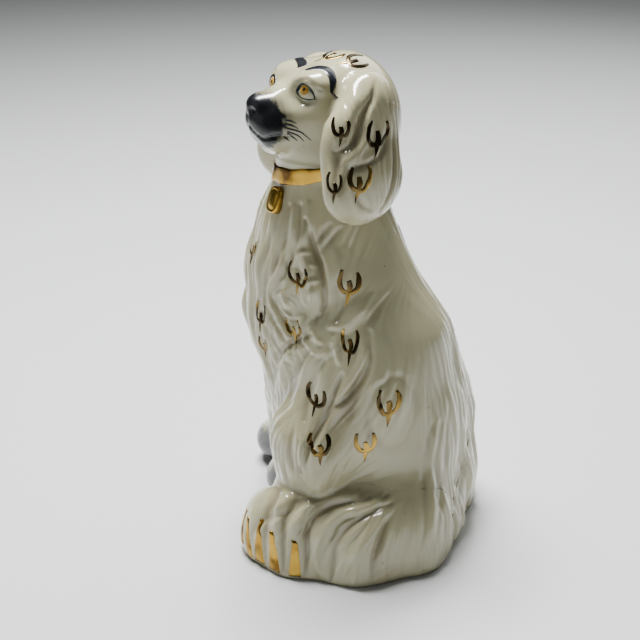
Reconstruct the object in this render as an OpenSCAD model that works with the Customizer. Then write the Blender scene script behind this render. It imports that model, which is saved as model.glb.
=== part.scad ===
// Seated spaniel figurine, slip-cast in separate pieces that are luted together, glazed and gilded.
// Millimetres, +Z up. The origin is on the table plane under the middle of the figure. The face looks
// along -Y, the forelegs stand on the -X side and the rump sits on the +X side.

/* [Overall] */
// Height from the table to the top of the head
total_h = 190; // [140:1:255]
// Thickness of the cast wall
wall = 4; // [3:0.5:6]

/* [Pose] */
// Turn of the body about the vertical, measured from +X to the chest
body_turn = 220; // [205:1:235]
// Turn of the head about the vertical, measured from +X to the nose
head_turn = 264; // [255:1:275]

/* [Base] */
// Thickness of the slab that closes the bottom
slab_t = 4; // [3:0.5:6]
// Radius of the vent hole in the slab
vent_r = 5; // [3:0.5:6]

/* [Collar] */
// Height of the collar band
collar_h = 7; // [5:0.5:8]
// Outer radius of the collar band
collar_r = 22.5; // [21.5:0.5:24]
// How deep the band is, from outside to inside
collar_t = 4; // [3:0.5:5]
// Forward tilt of the collar, down towards the throat
collar_tilt = 14; // [8:1:18]

/* [Locket] */
// Radius of the locket
locket_r = 5.5; // [4:0.5:7]
// Thickness of the locket at its middle
locket_t = 5; // [4:0.5:6]

/* [Hidden] */

// All shapes are drawn at a height of 190 and scaled as one to total_h.
drawn_h = 190;
size_k = total_h / drawn_h;
ivory = [0.93, 0.90, 0.84];
grey = [0.42, 0.42, 0.43];
gold = [0.72, 0.55, 0.24];
biscuit = [0.86, 0.83, 0.77];
round_fn = 24;
small_fn = 20;

// Spheres as [x, y, z, radius]: x towards the chest, y towards the dog's left, z up.
torso_balls = [[3, -6, 136, 19], [-3, -6, 119, 22], [8, -6, 107, 23], [10, -8, 84, 25], [11, -9, 64, 22],
               [-12, -6, 93, 27], [-28, 8, 42, 31], [-28, -20, 42, 31], [-13, 12, 50, 27],
               [-13, -24, 50, 27], [-30, 8, 8, 28], [-30, -20, 8, 28], [-2, 6, 8, 22], [-2, -18, 8, 22]];
foot_balls = [[-38, 26, 6, 17], [-36, 24, 20, 15], [-16, 31, 6, 15], [-16, 29, 18, 12], [6, 33, 5, 11],
              [4, 30, 14, 9], [17, 29, 4, 9]];
tail_balls = [[-56, -6, 44, 6], [-58, -4, 24, 8], [-50, 14, 6, 11]];
slab_discs = [[-30, 7, 24], [-30, -19, 24], [-2, 5, 18], [-2, -17, 18]];

// Spheres about the head's own axis: x towards the nose, y towards the dog's left, z up.
skull_balls = [[-12, 0, 166, 24], [-4, 6, 167, 18], [-4, -6, 167, 18], [-9, 0, 150, 21]];
muzzle_balls = [[6, 0, 168, 13], [16, 4, 165, 8], [16, -4, 165, 8], [19.5, 0, 170, 6.5], [14, 0, 160, 7]];
ear_balls = [[-8, 20, 181, 6], [4, 21, 164, 6.5], [-20, 22, 164, 7], [4, 23, 146, 7], [-22, 21, 149, 7],
             [-6, 26, 145, 8]];

neck_cut_z = 146;
collar_z = 149;
foreleg_top_z = 50;
body_mid = -6;
collar_at = [-7, 0, 0];
locket_at = [18.6, 4, 137];

module in_body() rotate([0, 0, body_turn]) children();
module in_head() translate([-1, 1, 0]) rotate([0, 0, head_turn]) children();
module ball(b, grow, fn) translate([b[0], b[1], b[2]]) sphere(r = b[3] + grow, $fn = fn);
module skin(balls, grow = 0, fn = round_fn) hull() for (b = balls) ball(b, grow, fn);
module above(z) translate([-150, -150, z]) cube([300, 300, 300]);
module below(z) translate([0, 0, z]) mirror([0, 0, 1]) above(0);
module across_mid(side) translate([0, side > 0 ? 0 : 2 * body_mid, 0])
    mirror([0, side > 0 ? 0 : 1, 0]) children();

module torso_form(grow = 0) in_body() skin(torso_balls, grow);
module head_form(grow = 0) in_head() {
    skin(skull_balls, grow);
    skin(muzzle_balls, grow, small_fn);
}
module foreleg_form(top, paw) in_body() {
    hull() {
        translate([top[0], top[1], foreleg_top_z]) sphere(r = 9, $fn = small_fn);
        translate([paw[0] - 4, paw[1], 12]) sphere(r = 8, $fn = small_fn);
    }
    hull() {
        translate([paw[0] - 4, paw[1], 11]) sphere(r = 8.5, $fn = small_fn);
        translate([paw[0] + 5, paw[1], 8]) sphere(r = 8, $fn = small_fn);
    }
}
module foot_form(side) in_body() across_mid(side) skin(foot_balls, 0, small_fn);
module slab_outline() hull() for (d = slab_discs) translate([d[0], d[1]]) circle(r = d[2], $fn = 48);
module slab_form(t) in_body() linear_extrude(t) slab_outline();
module collar_form() in_head() translate([collar_at[0], collar_at[1], collar_z]) rotate([0, collar_tilt, 0])
    rotate_extrude($fn = 64) translate([collar_r - collar_t, -collar_h / 2]) square([collar_t, collar_h]);
module locket_form() in_head() translate(locket_at) rotate([0, 78, 14]) {
    lens_r = (locket_r * locket_r + locket_t * locket_t / 4) / locket_t;
    intersection() {
        translate([0, 0, lens_r - locket_t / 2]) sphere(r = lens_r, $fn = 64);
        translate([0, 0, locket_t / 2 - lens_r]) sphere(r = lens_r, $fn = 64);
    }
}

module torso_shell() color(ivory) scale(size_k) difference() {
    torso_form();
    difference() {
        torso_form(-wall);
        above(neck_cut_z - wall);
        below(slab_t);
    }
    above(neck_cut_z);
    below(0);
    translate([0, 0, -1]) slab_form(slab_t + 1);
    forelegs();
    collar_form();
    locket_form();
}
module forelegs() {
    foreleg_form([18, -3], [19, -5]);
    foreleg_form([24, -22], [31, -30]);
}
module head_shell() color(ivory) scale(size_k) difference() {
    head_form();
    in_head() skin(skull_balls, -wall);
    below(neck_cut_z);
    collar_form();
}
module ear(side) scale(size_k) difference() {
    in_head() mirror([0, side > 0 ? 0 : 1, 0]) skin(ear_balls, 0, small_fn);
    head_form();
    torso_form();
    collar_form();
}
module left_ear() color(ivory) ear(1);
module right_ear() color(ivory) ear(-1);
module foreleg(top, paw) scale(size_k) intersection() {
    foreleg_form(top, paw);
    above(0);
}
module left_front_leg() color(grey) foreleg([18, -3], [19, -5]);
module right_front_leg() color(grey) foreleg([24, -22], [31, -30]);
module hind_foot(side) scale(size_k) difference() {
    foot_form(side);
    torso_form();
    forelegs();
    below(0);
}
module left_hind_foot() color(ivory) hind_foot(1);
module right_hind_foot() color(ivory) hind_foot(-1);
module tail() color(ivory) scale(size_k) difference() {
    in_body() {
        hull() for (b = [tail_balls[0], tail_balls[1]]) ball(b, 0, small_fn);
        hull() for (b = [tail_balls[1], tail_balls[2]]) ball(b, 0, small_fn);
    }
    torso_form();
    foot_form(1);
    foot_form(-1);
    below(0);
}
module base_plate() color(biscuit) scale(size_k) difference() {
    slab_form(slab_t);
    in_body() translate([-20, body_mid, -1]) cylinder(r = vent_r, h = slab_t + 2, $fn = 48);
}
module collar() color(gold) scale(size_k) collar_form();
module locket() color(gold) scale(size_k) difference() {
    locket_form();
    collar_form();
}

torso_shell();
head_shell();
left_ear();
right_ear();
left_front_leg();
right_front_leg();
left_hind_foot();
right_hind_foot();
tail();
base_plate();
collar();
locket();
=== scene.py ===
"""Seated spaniel figurine in glazed ceramic, with combed fur relief, a painted face and gilding."""
import math

import bmesh
import bpy
import numpy as np
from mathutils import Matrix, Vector
from mathutils.bvhtree import BVHTree


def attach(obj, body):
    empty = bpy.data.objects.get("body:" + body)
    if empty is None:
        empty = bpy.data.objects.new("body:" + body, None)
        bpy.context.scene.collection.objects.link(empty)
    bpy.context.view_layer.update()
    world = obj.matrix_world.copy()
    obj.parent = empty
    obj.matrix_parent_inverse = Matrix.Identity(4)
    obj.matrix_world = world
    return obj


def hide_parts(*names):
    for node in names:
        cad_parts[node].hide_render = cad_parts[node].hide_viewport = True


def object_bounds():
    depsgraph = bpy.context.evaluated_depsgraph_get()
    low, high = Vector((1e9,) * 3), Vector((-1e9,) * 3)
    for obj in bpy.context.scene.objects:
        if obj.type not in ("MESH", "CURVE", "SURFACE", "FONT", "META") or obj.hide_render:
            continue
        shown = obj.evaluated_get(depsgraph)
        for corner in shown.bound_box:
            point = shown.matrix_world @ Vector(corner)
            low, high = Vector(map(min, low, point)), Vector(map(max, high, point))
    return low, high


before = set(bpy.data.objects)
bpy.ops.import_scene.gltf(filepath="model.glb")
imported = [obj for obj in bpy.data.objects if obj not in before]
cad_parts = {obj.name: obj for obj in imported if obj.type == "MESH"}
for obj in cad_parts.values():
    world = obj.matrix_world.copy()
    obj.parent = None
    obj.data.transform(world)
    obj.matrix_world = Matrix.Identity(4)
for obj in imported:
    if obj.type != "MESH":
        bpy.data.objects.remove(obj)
cad_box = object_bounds()

# The forms are drawn 190 mm tall in the display frame: s runs to the viewer's right, t away from the
# viewer and z up. It is turned 60 degrees about z from the object's frame.
DRAWN_HEIGHT = 190.0
SCALE = (cad_box[1][2]-cad_box[0][2])/DRAWN_HEIGHT
DISPLAY_TURN = math.radians(60)


def to_object(p):
    """Display-frame millimetres to the object's frame in metres."""
    c, s = math.cos(DISPLAY_TURN), math.sin(DISPLAY_TURN)
    p = np.asarray(p, float)
    return np.stack([p[..., 0]*c-p[..., 1]*s, p[..., 0]*s+p[..., 1]*c, p[..., 2]], -1)*SCALE


# ---- Fields: signed distances in mm, negative inside ----

def turned(p, centre, yaw=0.0, pitch=0.0):
    """Points in a shape's own axes: turned about z by yaw, then about its own x by pitch, in degrees."""
    q = p-np.asarray(centre, np.float32)
    c, s = math.cos(math.radians(yaw)), math.sin(math.radians(yaw))
    x = q[:, 0]*c+q[:, 1]*s
    y = q[:, 1]*c-q[:, 0]*s
    z = q[:, 2]
    if pitch:
        c, s = math.cos(math.radians(pitch)), math.sin(math.radians(pitch))
        y, z = y*c+z*s, z*c-y*s
    return np.stack([x, y, z], 1)


def ellipsoid(p, centre, radii, yaw=0.0, pitch=0.0):
    q = turned(p, centre, yaw, pitch)
    r = np.asarray(radii, np.float32)
    k0 = np.linalg.norm(q/r, axis=1)
    k1 = np.linalg.norm(q/(r*r), axis=1)
    return k0*(k0-1)/np.maximum(k1, 1e-6)


def smin(a, b, k):
    """Union with a fillet of size k."""
    h = np.maximum(k-np.abs(a-b), 0)/k
    return np.minimum(a, b)-h*h*k*0.25


def smax(a, b, k):
    """Intersection with a rounding of size k."""
    return -smin(-a, -b, k)


def ramp(x, low, high):
    """Smooth step from 0 at low to 1 at high."""
    u = np.clip((x-low)/(high-low), 0, 1)
    return u*u*(3-2*u)


def limb(p, points, k):
    """Round cones through points (s, t, z, radius), blended by k."""
    out = None
    for a, b in zip(points[:-1], points[1:]):
        a, b = np.asarray(a, np.float32), np.asarray(b, np.float32)
        d = b[:3]-a[:3]
        along = np.clip((p-a[:3])@d/max(float(d@d), 1e-6), 0, 1)
        v = np.linalg.norm(p-a[:3]-along[:, None]*d, axis=1)-a[3]-(b[3]-a[3])*along
        out = v if out is None else smin(out, v, k)
    return out


def curve(x, knots, values):
    """Smooth curve through the knots."""
    kx, ky = np.asarray(knots, float), np.asarray(values, float)
    slope = np.gradient(ky, kx)
    x = np.clip(x, kx[0], kx[-1])
    i = np.clip(np.searchsorted(kx, x)-1, 0, len(kx)-2)
    h = kx[i+1]-kx[i]
    u = (x-kx[i])/h
    return ((2*u**3-3*u**2+1)*ky[i]+(u**3-2*u**2+u)*h*slope[i]
            + (3*u**2-2*u**3)*ky[i+1]+(u**3-u**2)*h*slope[i+1]).astype(np.float32)


def stack(p, rows, yaw, power=2.0):
    """Superellipse sections (z, s, t, half length, half width) joined smoothly, their length along yaw."""
    rows = np.asarray(rows, float)
    cs, ct, a, b = (curve(p[:, 2], rows[:, 0], rows[:, j]) for j in (1, 2, 3, 4))
    c, s = math.cos(math.radians(yaw)), math.sin(math.radians(yaw))
    ds, dt = p[:, 0]-cs, p[:, 1]-ct
    u, v = np.abs(ds*c+dt*s)/a, np.abs(dt*c-ds*s)/b
    k = (u**power+v**power)**(1/power)
    slope = np.sqrt((u**(power-1)/a)**2+(v**(power-1)/b)**2)/np.maximum(k, 1e-4)**(power-1)
    d = np.maximum((k-1)/np.maximum(slope, 1e-4), -np.minimum(a, b))
    return np.maximum(d, np.maximum(rows[0, 0]-p[:, 2], p[:, 2]-rows[-1, 0]))


# ---- The dog's forms ----

BODY_YAW = 160
BODY_LEFT = (-0.34, -0.94)
BODY_MIDDLE = -6
WALL = 5.0
VOID_TOP = 30.0
SLAB = 4.0
SLAB_GAP = 0.15
VENT_AT = (18.0, 6.0)
VENT_RADIUS = 5.0
HEAD_AT = (8.0, 6.0)
HEAD_FORWARD = (-0.91, -0.41)
FAR_EAR_FORWARD = 1.2


def head_axes(p):
    """Points in the head's axes: f towards the nose, l towards the dog's left, z up."""
    ds, dt = p[:, 0]-HEAD_AT[0], p[:, 1]-HEAD_AT[1]
    f = ds*HEAD_FORWARD[0]+dt*HEAD_FORWARD[1]
    l = dt*HEAD_FORWARD[0]-ds*HEAD_FORWARD[1]
    return np.stack([f, l, p[:, 2]], 1)


def from_head(f, l, z):
    """A direction given in the head's axes, in the display frame."""
    return np.array([f*HEAD_FORWARD[0]-l*HEAD_FORWARD[1], f*HEAD_FORWARD[1]+l*HEAD_FORWARD[0], z])


def on_head(f, l, z):
    """A point given in the head's axes, in the display frame."""
    return from_head(f, l, z)+(*HEAD_AT, 0)


def across_body(p):
    """Points mirrored through the body's mid-plane."""
    left = BODY_LEFT[0]*p[:, 0]+BODY_LEFT[1]*p[:, 1]
    shift = 2*BODY_MIDDLE-2*left
    return p+np.stack([BODY_LEFT[0]*shift, BODY_LEFT[1]*shift, 0*shift], 1).astype(np.float32)


def torso_form(p):
    trunk = stack(p, [(38, 7, 16, 22, 18), (48, 8, 16, 26, 22), (58, 9.5, 13, 28.5, 25),
                      (68, 11, 9, 32.5, 27), (78, 10.5, 7, 37, 28), (88, 9, 6, 39, 28),
                      (100, 6.5, 6, 36, 26.5), (111, 4, 5, 32.5, 25), (122, 3, 5, 28.5, 23),
                      (133, 2.3, 4, 24.5, 20.5), (142, 2.6, 4, 20.8, 19), (152, 3.2, 4, 19, 18)], BODY_YAW)
    rump = stack(p, [(-4, 22, 7, 35.5, 42), (20, 23, 7, 37, 40), (40, 22.5, 6, 38, 37),
                     (60, 20.5, 6, 37.5, 33), (78, 16.5, 6, 34, 28), (92, 13, 6, 28, 23),
                     (102, 10, 6, 20, 16), (110, 8, 6, 8, 7)], BODY_YAW, 2.4)
    d = smin(trunk, rump, 16)
    for q in (p, across_body(p)):
        thigh = smin(ellipsoid(q, (17, -12, 58), (28, 22, 46)),
                     limb(q, [(12, -15, 60, 19), (0.5, -18, 46, 18), (0, -19, 30, 17)], 8), 5)
        d = smin(d, thigh, 4)
    return d


def head_form(p):
    q = head_axes(p)
    d = ellipsoid(q, (-0.5, 0, 165.2), (20.6, 21.5, 23.9))
    d = smin(d, ellipsoid(q, (8, 0.8, 158), (16.5, 16, 13)), 8)
    d = smin(d, ellipsoid(q, (9, 0, 171.5), (14, 18.5, 12)), 6)
    d = smin(d, limb(q, [(14, 0, 168.5, 12.5), (24, 0, 169.3, 9.5), (28.5, 0, 168.6, 8)], 2), 6)
    for side in (-1, 1):
        d = smin(d, ellipsoid(q, (14, 8.5*side, 181), (7.5, 7.5, 4.6)), 5)
        d = smin(d, ellipsoid(q, (26, 4.4*side, 165), (8, 6, 8)), 2.5)
        d = smax(d, -ellipsoid(q, (23.5, 12.5*side, 178.5), (6, 5, 3.4)), 4)
        d = smin(d, ellipsoid(q, (16.4, 8.0*side, 178.3), (4.6, 5.0, 3.4)), 1.2)
    d = smin(d, ellipsoid(q, (18.8, -9.2, 177.3), (5, 4.6, 5.4)), 4)
    d = smin(d, ellipsoid(q, (31, 0, 173.3), (5.2, 5.6, 4.2)), 1.5)
    for side in (-1, 1):
        d = smax(d, -ellipsoid(q, (36.2, 3.0*side, 172.4), (1.5, 1.2, 1.0)), 1)
    return smin(d, ellipsoid(q, (24.5, 0, 159.5), (7, 5.5, 4.5)), 1.5)


def ear_form(p, side):
    q = head_axes(p)*np.array([1, side, 1], np.float32)
    if side < 0:
        q = q-np.array([FAR_EAR_FORWARD, 0, 0], np.float32)
    d = ellipsoid(q, (-1, 18, 176), (9.5, 7, 9.5))
    d = smin(d, ellipsoid(q, (3.3, 22, 160.5), (16, 8, 18), 10), 8)
    return smin(d, ellipsoid(q, (4.4, 26, 148.5), (16.4, 8, 14), 14), 6)


def foot_form(p, side):
    q = p if side > 0 else across_body(p)
    upper = limb(q, [(34, -26, 16, 16), (14, -29, 17, 17), (-8, -28, 17, 14.5), (-17, -25, 13, 13)], 6)
    lower = limb(q, [(33, -27, 4, 18), (14, -31, 4, 18.5), (-8, -29, 4, 15.5), (-19, -25, 4, 12)], 6)
    return smin(upper, lower, 6)


def foreleg_form(p, side):
    if side > 0:
        leg = limb(p, [(-9, 8, 56, 9), (-11, 11, 14, 8.5)], 3)
        paw = limb(p, [(-12, 12, 9, 9.5), (-14.5, 12, 8.5, 8.5)], 3)
    else:
        leg = limb(p, [(-14, 24, 62, 10), (-14.5, 34, 38, 8.8), (-14, 38, 14, 8.5)], 3)
        paw = limb(p, [(-16, 40, 11, 10), (-19, 41, 10, 9.5)], 3)
    return smin(leg, paw, 5)


def tail_form(p):
    return limb(p, [(51, 10, 66, 3.5), (53.4, 6, 46, 6.5), (52.4, -3, 25, 8.5), (48.5, -15, 8, 9.5)], 6)


FORMS = {
    "trunk": lambda p: smin(torso_form(p), head_form(p), 4),
    "left_ear": lambda p: ear_form(p, 1),
    "right_ear": lambda p: ear_form(p, -1),
    "left_front_leg": lambda p: foreleg_form(p, 1),
    "right_front_leg": lambda p: foreleg_form(p, -1),
    "left_hind_foot": lambda p: foot_form(p, 1),
    "right_hind_foot": lambda p: foot_form(p, -1),
    "tail": tail_form,
}


def haunch_fillet(p):
    """The slip along the top of a hind foot: a tight crease in front, smoothed away towards the tail."""
    return 2.5+9*np.clip((p[:, 0]-8)/22, 0, 1)


# Neighbours that share a luted seam, and the fillet of slip along it in mm
SEAMS = {
    ("trunk", "left_ear"): 2.5, ("trunk", "right_ear"): 2.5,
    ("trunk", "left_front_leg"): 4, ("trunk", "right_front_leg"): 4,
    ("trunk", "left_hind_foot"): haunch_fillet, ("trunk", "right_hind_foot"): haunch_fillet,
    ("trunk", "tail"): 5,
    ("left_front_leg", "left_hind_foot"): 1, ("right_front_leg", "right_hind_foot"): 1,
    ("left_front_leg", "right_front_leg"): 1,
    ("left_hind_foot", "tail"): 5, ("right_hind_foot", "tail"): 5,
}
REAR_PARTS = ("trunk", "left_hind_foot", "right_hind_foot", "tail")
# Where neighbours meet, each piece is cut with this slope and runs this far into the other
SEAM_SLOPE = 0.7
SEAM_OVERLAP = 0.5


def rear_union(form, p):
    """The trunk, hind feet and tail blended in one fixed order, so their pieces share one surface."""
    d = form("trunk")
    for part in REAR_PARTS[1:]:
        k = SEAMS["trunk", part]
        d = smin(d, form(part), k(p) if callable(k) else k)
    return d


def piece_field(name):
    """The part of the joined figure that belongs to one piece: its own form up to the luted seams."""
    def field(p):
        known = {}

        def form(part):
            if part not in known:
                known[part] = FORMS[part](p)
            return known[part]

        own, cut = form(name), None
        joined = rear_union(form, p) if name in REAR_PARTS else own
        for (a, b), k in SEAMS.items():
            if name in (a, b):
                other = form(b if a == name else a)
                if a not in REAR_PARTS or b not in REAR_PARTS:
                    joined = smin(joined, other, k)
                edge = own-other
                cut = edge if cut is None else np.maximum(cut, edge)
        d = np.maximum(joined, cut*SEAM_SLOPE-SEAM_OVERLAP)
        if name == "trunk":
            d = np.maximum(d, -np.maximum(torso_form(p)+WALL, p[:, 2]-VOID_TOP))
        return smax(d, -p[:, 2], 0.5)
    return field


def slab_field(p):
    """The slab that closes the bottom, with its vent hole."""
    vent = VENT_RADIUS-np.hypot(p[:, 0]-VENT_AT[0], p[:, 1]-VENT_AT[1])
    d = np.maximum(torso_form(p)+WALL+SLAB_GAP, p[:, 2]-SLAB)
    return np.maximum(np.maximum(d, vent), -p[:, 2])


# ---- Meshing ----

def surface_net(field, low, high, h, block=16):
    """Quads of the surface field = 0, found in the grid blocks that the surface crosses."""
    low = np.asarray(low, float)
    n = np.ceil((np.asarray(high)-low)/h).astype(int)
    m = (n+block-1)//block
    n = m*block+1
    centres = np.stack(np.meshgrid(*[low[i]+h*block*(np.arange(m[i])+0.5) for i in range(3)],
                                   indexing="ij"), -1)
    rough = field(centres.reshape(-1, 3).astype(np.float32)).reshape(m)
    reach = h*block*1.3+3
    values = np.full(n, 1e3, np.float32)
    for b in zip(*np.nonzero(rough <= -reach)):
        values[tuple(slice(i*block, i*block+block+1) for i in b)] = -1e3
    for b in zip(*np.nonzero(np.abs(rough) < reach)):
        where = tuple(slice(i*block, i*block+block+1) for i in b)
        axes = [low[i]+h*np.arange(where[i].start, where[i].stop) for i in range(3)]
        grid = np.stack(np.meshgrid(*axes, indexing="ij"), -1)
        values[where] = field(grid.reshape(-1, 3).astype(np.float32)).reshape(grid.shape[:3])
    inside = values < 0
    corners = [(i, j, k) for i in (0, 1) for j in (0, 1) for k in (0, 1)]
    count = sum(inside[i:n[0]-1+i, j:n[1]-1+j, k:n[2]-1+k].astype(np.int8) for i, j, k in corners)
    active = (count > 0) & (count < 8)
    index = np.full(active.shape, -1, np.int64)
    index[active] = np.arange(active.sum())
    cell = np.stack(np.nonzero(active), 1)
    total, crossings = np.zeros((len(cell), 3)), np.zeros(len(cell))
    for corner in corners:
        for axis in range(3):
            if corner[axis]:
                continue
            a = cell+corner
            b = a.copy()
            b[:, axis] += 1
            va, vb = values[tuple(a.T)], values[tuple(b.T)]
            crossed = (va < 0) != (vb < 0)
            point = np.tile(np.array(corner, float), (len(cell), 1))
            point[:, axis] = va/np.where(crossed, va-vb, 1)
            total += np.where(crossed[:, None], point, 0)
            crossings += crossed
    verts = low+h*(cell+total/crossings[:, None])
    quads = []
    for axis, (u, v) in enumerate(((1, 2), (2, 0), (0, 1))):
        near = inside[tuple(slice(0, -1) if i == axis else slice(1, -1) for i in range(3))]
        far = inside[tuple(slice(1, None) if i == axis else slice(1, -1) for i in range(3))]
        at = np.stack(np.nonzero(near != far), 1)
        outward = near[tuple(at.T)]
        base = at.copy()
        base[:, u] += 1
        base[:, v] += 1
        ring = []
        for du, dv in ((1, 1), (0, 1), (0, 0), (1, 0)):
            r = base.copy()
            r[:, u] -= du
            r[:, v] -= dv
            ring.append(index[tuple(r.T)])
        ring = np.stack(ring, 1)
        ring[~outward] = ring[~outward][:, ::-1]
        quads.append(ring)
    return verts, np.concatenate(quads)


def gradient(field, p, step=0.2):
    """The field and its slope at points, by forward differences."""
    d = field(p.astype(np.float32))
    g = np.stack([field((p+np.eye(3)[i]*step).astype(np.float32))-d for i in range(3)], 1)/step
    return d, g


def on_surface(field, p, rounds=2):
    """Moves points onto the surface field = 0."""
    for _ in range(rounds):
        d, g = gradient(field, p)
        p = p-np.clip(d, -1, 1)[:, None]*g/np.maximum((g*g).sum(1), 0.2)[:, None]
    return p


def make_mesh(name, verts, faces):
    mesh = bpy.data.meshes.new(name)
    mesh.from_pydata([tuple(v) for v in verts], [], [tuple(int(i) for i in f) for f in faces])
    mesh.validate()
    return mesh


def mesh_arrays(mesh):
    """A mesh's vertex positions and normals."""
    co = np.empty(len(mesh.vertices)*3, np.float32)
    mesh.vertices.foreach_get("co", co)
    no = np.empty(len(mesh.vertices)*3, np.float32)
    mesh.vertices.foreach_get("normal", no)
    return co.reshape(-1, 3).astype(float), no.reshape(-1, 3).astype(float)


def refined(mesh):
    """The mesh after one level of Catmull-Clark subdivision."""
    obj = bpy.data.objects.new(mesh.name, mesh)
    bpy.context.scene.collection.objects.link(obj)
    modifier = obj.modifiers.new("finer", "SUBSURF")
    modifier.levels = 1
    bpy.context.view_layer.update()
    depsgraph = bpy.context.evaluated_depsgraph_get()
    fine = bpy.data.meshes.new_from_object(obj.evaluated_get(depsgraph))
    bpy.data.objects.remove(obj)
    return fine


# ---- Fur relief: hair combed along a flow field, drawn on flat maps and pressed into the surface ----

class Flow:
    """A direction field over a plane, set by guide hairs and swirls."""

    def __init__(self, low, high, pitch, guides, swirls=(), seed=1):
        self.low, self.pitch = np.array(low, float), pitch
        self.shape = tuple(np.ceil((np.array(high)-low)/pitch).astype(int)+1)
        x, y = np.meshgrid(*[low[i]+pitch*np.arange(self.shape[i]) for i in range(2)], indexing="ij")
        vx, vy = np.zeros(self.shape), np.full(self.shape, -2e-4)
        for guide in guides:
            pts = smooth_path(guide, 5)
            for a, b in zip(pts[:-1], pts[1:]):
                mid, d = (a+b)/2, (b-a)/max(np.linalg.norm(b-a), 1e-6)
                w = 1/((x-mid[0])**2+(y-mid[1])**2+6)**1.5
                vx += w*d[0]
                vy += w*d[1]
        length = np.maximum(np.hypot(vx, vy), 1e-9)
        vx, vy = vx/length, vy/length
        for cx, cy, radius, sign in swirls:
            dx, dy = x-cx, y-cy
            r = np.hypot(dx, dy)+1e-6
            w = np.exp(-(r/radius)**4)*0.97
            vx = vx*(1-w)+w*(-dy*sign-0.25*dx)/r
            vy = vy*(1-w)+w*(dx*sign-0.25*dy)/r
        length = np.maximum(np.hypot(vx, vy), 1e-9)
        self.vx, self.vy = vx/length, vy/length
        self.rng = np.random.default_rng(seed)

    def sample(self, image, i, j):
        """The map's values between its grid points, at fractional indices."""
        i = np.clip(i, 0, self.shape[0]-1.001)
        j = np.clip(j, 0, self.shape[1]-1.001)
        i0, j0 = i.astype(int), j.astype(int)
        a, b = i-i0, j-j0
        return ((image[i0, j0]*(1-b)+image[i0, j0+1]*b)*(1-a)
                + (image[i0+1, j0]*(1-b)+image[i0+1, j0+1]*b)*a)

    def noise(self, size):
        """Smooth noise with features of the given size in mm."""
        kx = np.fft.fftfreq(self.shape[0], self.pitch)[:, None]
        ky = np.fft.fftfreq(self.shape[1], self.pitch)[None]
        n = np.fft.fft2(self.rng.standard_normal(self.shape))
        n = np.fft.ifft2(n*np.exp(-(kx**2+ky**2)*(size*1.6)**2)).real
        return n/n.std()

    def comb(self, size, length):
        """Noise smeared along the flow: strands of the given width and half length."""
        image = self.noise(size)
        i0, j0 = np.meshgrid(*[np.arange(n, dtype=float) for n in self.shape], indexing="ij")
        step = 1.5
        count = int(length/(step*self.pitch))
        total = image.copy()
        for sign in (-1, 1):
            i, j = i0.copy(), j0.copy()
            for k in range(count):
                vx, vy = self.sample(self.vx, i, j), self.sample(self.vy, i, j)
                i += sign*step*vx
                j += sign*step*vy
                w = 0.5+0.5*math.cos(math.pi*(k+1)/(count+1))
                total += w*self.sample(image, i, j)
        return total/total.std()

    def at(self, image, x, y):
        """The map's values at points of the plane."""
        return self.sample(image, (x-self.low[0])/self.pitch, (y-self.low[1])/self.pitch)


def smooth_path(points, per=6):
    """Catmull-Rom points along a path."""
    p = np.asarray(points, float)
    p = np.vstack([2*p[0]-p[1], p, 2*p[-1]-p[-2]])
    out = []
    for i in range(1, len(p)-2):
        for u in np.arange(per)/per:
            out.append(0.5*(2*p[i]+(p[i+1]-p[i-1])*u+(2*p[i-1]-5*p[i]+4*p[i+1]-p[i+2])*u*u
                            + (3*p[i]-p[i-1]-3*p[i+1]+p[i+2])*u**3))
    out.append(p[-2])
    return np.array(out)


def fur(flow, lock, strand, lock_height, strand_height):
    """Relief map in mm: rounded locks with sharp partings, and finer strands on them."""
    locks = flow.comb(*lock)
    locks = np.sqrt(locks**2+0.02)
    strands = flow.comb(*strand)
    return lock_height*(np.minimum(locks, 2.2)-0.8)+strand_height*strands


def blob(x, y, cx, cy, rx, ry):
    """A soft spot of height 1 round a centre."""
    return np.exp(-((x-cx)/rx)**2-((y-cy)/ry)**2)


def drawn(flow, ridges):
    """Hand-drawn locks and partings on a map: tapered ridges given as (path, half width, height)."""
    axes = [flow.low[i]+flow.pitch*np.arange(flow.shape[i]) for i in range(2)]
    x, y = np.meshgrid(*axes, indexing="ij")
    raised, sunk = np.zeros(flow.shape), np.zeros(flow.shape)
    for path, width, height in ridges:
        pts = smooth_path(path, 6)
        best, along = np.full(flow.shape, 1e9), np.zeros(flow.shape)
        for k, (a, b) in enumerate(zip(pts[:-1], pts[1:])):
            d = b-a
            u = np.clip(((x-a[0])*d[0]+(y-a[1])*d[1])/(d@d), 0, 1)
            r = np.hypot(x-a[0]-u*d[0], y-a[1]-u*d[1])
            closer = r < best
            best = np.where(closer, r, best)
            along = np.where(closer, (k+u)/(len(pts)-1), along)
        taper = np.sin(math.pi*np.clip(0.12+0.8*along, 0, 1))**0.7
        swell = (abs(height)*taper*np.exp(-(best/(width*taper+0.2))**2*1.2))**3
        if height > 0:
            raised += swell
        else:
            sunk += swell
    return np.cbrt(raised)-np.cbrt(sunk)


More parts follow.
